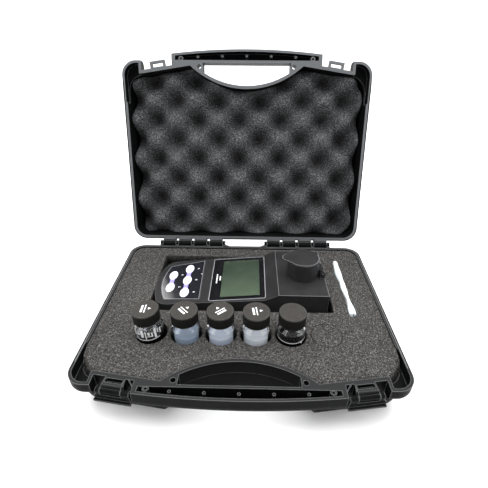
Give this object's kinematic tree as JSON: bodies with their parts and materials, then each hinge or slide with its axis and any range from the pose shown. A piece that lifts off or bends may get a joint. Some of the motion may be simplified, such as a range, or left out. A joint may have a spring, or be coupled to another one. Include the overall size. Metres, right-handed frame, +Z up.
{
  "type": "water test kit",
  "caption": "Carrying case with hinged lid, latches and foam inserts that holds a portable turbidity meter, capped glass sample vials and a wiping cloth.",
  "frame": {"origin": "centre of the case's underside, on the surface it stands on", "axes": "+X to the right of the case seen from its handle, +Y towards the hinge, +Z up"},
  "size_m": [0.28, 0.3143, 0.2604],
  "materials": {
    "case_plastic": "textured",
    "hinge_steel": "satin",
    "base_foam": "matt foam",
    "lid_foam": "matt foam",
    "clear_glass": "clear",
    "cap_plastic": "matt",
    "liner": "matt",
    "clear_liquid": "clear",
    "milky_liquid_2": "milky",
    "milky_liquid_3": "milky",
    "milky_liquid_4": "milky",
    "meter_plastic": "fine grain",
    "gloss_black": "gloss",
    "window": "clear",
    "lcd": "gloss",
    "key_white": "gloss",
    "seal_rubber": "matt",
    "lamp": "clear",
    "detector": "gloss",
    "board_green": "gloss",
    "cell": "gloss",
    "contact": "polished",
    "screw_steel": "satin",
    "cloth_white": "microfibre"
  },
  "bodies": {
    "base": {"base_shell": "case_plastic", "hinge_pin_left": "hinge_steel", "hinge_pin_right": "hinge_steel", "latch_pin_left": "hinge_steel", "latch_pin_right": "hinge_steel", "base_foam": "base_foam"},
    "lid": {"lid_shell": "case_plastic", "lid_foam": "lid_foam"},
    "latch_l": {"latch_left": "case_plastic"},
    "latch_r": {"latch_right": "case_plastic"},
    "plug": {"foam_plug": "base_foam"},
    "cloth": {"cleaning_cloth": "cloth_white"},
    "meter": {"meter_upper_housing": "meter_plastic", "meter_lower_housing": "meter_plastic", "battery_door": "meter_plastic", "display_bezel": "gloss_black", "display_window": "window", "lcd_module": "lcd", "keypad_membrane": "gloss_black", "sample_well": "meter_plastic", "well_seal": "seal_rubber", "light_source": "lamp", "light_detector": "detector", "cover_hinge_pin": "hinge_steel", "circuit_board": "board_green", "batteries": "cell", "battery_contacts": "contact", "housing_screws": "screw_steel"},
    "cover": {"chamber_cover": "meter_plastic"},
    "vial_1": {"vial_glass_1": "clear_glass", "standard_liquid_1": "clear_liquid"},
    "cap_1": {"vial_cap_1": "cap_plastic", "cap_liner_1": "liner"},
    "vial_2": {"vial_glass_2": "clear_glass", "standard_liquid_2": "milky_liquid_2"},
    "cap_2": {"vial_cap_2": "cap_plastic", "cap_liner_2": "liner"},
    "vial_3": {"vial_glass_3": "clear_glass", "standard_liquid_3": "milky_liquid_3"},
    "cap_3": {"vial_cap_3": "cap_plastic", "cap_liner_3": "liner"},
    "vial_4": {"vial_glass_4": "clear_glass", "standard_liquid_4": "milky_liquid_4"},
    "cap_4": {"vial_cap_4": "cap_plastic", "cap_liner_4": "liner"},
    "vial_5": {"vial_glass_5": "clear_glass"},
    "cap_5": {"vial_cap_5": "cap_plastic", "cap_liner_5": "liner"},
    "key_1_pad": {"key_1": "key_white"},
    "key_2_pad": {"key_2": "key_white"},
    "key_3_pad": {"key_3": "key_white"},
    "key_4_pad": {"key_4": "key_white"},
    "key_5_pad": {"key_5": "key_white"}
  },
  "joints": [
    {"name": "lid_hinge", "type": "hinge", "parent": "base", "child": "lid", "pos_m": [0, 0.10854, 0.045], "axis": [-1, 0, 0], "range_deg": [-105.13, 0], "deforming": ["lid_foam"]},
    {"name": "latch_left_pivot", "type": "hinge", "parent": "base", "child": "latch_l", "pos_m": [-0.10038, -0.10557, 0.041], "axis": [-0.989, 0.1478, 0], "range_deg": [0, 168.5]},
    {"name": "latch_right_pivot", "type": "hinge", "parent": "base", "child": "latch_r", "pos_m": [0.10038, -0.10557, 0.041], "axis": [-0.989, -0.1478, 0], "range_deg": [0, 168.5]},
    {"name": "vial_1_lift", "type": "slide", "parent": "base", "child": "vial_1", "axis": [0, 0, 1], "range_m": [0, 0.05]},
    {"name": "cap_1_lift", "type": "slide", "parent": "vial_1", "child": "cap_1", "axis": [-0.0523, 0, 0.9986], "range_m": [0, 0.02]},
    {"name": "vial_2_lift", "type": "slide", "parent": "base", "child": "vial_2", "axis": [0, 0, 1], "range_m": [0, 0.05]},
    {"name": "cap_2_lift", "type": "slide", "parent": "vial_2", "child": "cap_2", "axis": [0, 0, 1], "range_m": [0, 0.02]},
    {"name": "vial_3_lift", "type": "slide", "parent": "base", "child": "vial_3", "axis": [0, 0, 1], "range_m": [0, 0.05]},
    {"name": "cap_3_lift", "type": "slide", "parent": "vial_3", "child": "cap_3", "axis": [0, 0, 1], "range_m": [0, 0.02]},
    {"name": "vial_4_lift", "type": "slide", "parent": "base", "child": "vial_4", "axis": [0, 0, 1], "range_m": [0, 0.05]},
    {"name": "cap_4_lift", "type": "slide", "parent": "vial_4", "child": "cap_4", "axis": [0, 0, 1], "range_m": [0, 0.02]},
    {"name": "vial_5_lift", "type": "slide", "parent": "base", "child": "vial_5", "axis": [0, 0, 1], "range_m": [0, 0.05]},
    {"name": "cap_5_lift", "type": "slide", "parent": "vial_5", "child": "cap_5", "axis": [0, 0, 1], "range_m": [0, 0.02]},
    {"name": "meter_lift", "type": "slide", "parent": "base", "child": "meter", "axis": [0, 0, 1], "range_m": [0, 0.05]},
    {"name": "chamber_cover_hinge", "type": "hinge", "parent": "meter", "child": "cover", "pos_m": [0.0836, 0.0307, 0.0626], "axis": [0, 1, 0], "range_deg": [0, 110]},
    {"name": "key_1_press", "type": "slide", "parent": "meter", "child": "key_1_pad", "axis": [0.0924, 0, -0.9957], "range_m": [0, 0.00035], "stiffness_N_per_m": 800},
    {"name": "key_2_press", "type": "slide", "parent": "meter", "child": "key_2_pad", "axis": [0.0924, 0, -0.9957], "range_m": [0, 0.00035], "stiffness_N_per_m": 800},
    {"name": "key_3_press", "type": "slide", "parent": "meter", "child": "key_3_pad", "axis": [0.0924, 0, -0.9957], "range_m": [0, 0.00035], "stiffness_N_per_m": 800},
    {"name": "key_4_press", "type": "slide", "parent": "meter", "child": "key_4_pad", "axis": [0.0924, 0, -0.9957], "range_m": [0, 0.00035], "stiffness_N_per_m": 800},
    {"name": "key_5_press", "type": "slide", "parent": "meter", "child": "key_5_pad", "axis": [0.0924, 0, -0.9957], "range_m": [0, 0.00035], "stiffness_N_per_m": 800},
    {"name": "foam_plug_lift", "type": "slide", "parent": "base", "child": "plug", "axis": [0, 0, 1], "range_m": [0, 0.04]},
    {"name": "cloth_lift", "type": "slide", "parent": "base", "child": "cloth", "axis": [0, 0, 1], "range_m": [0, 0.025]}
  ]
}
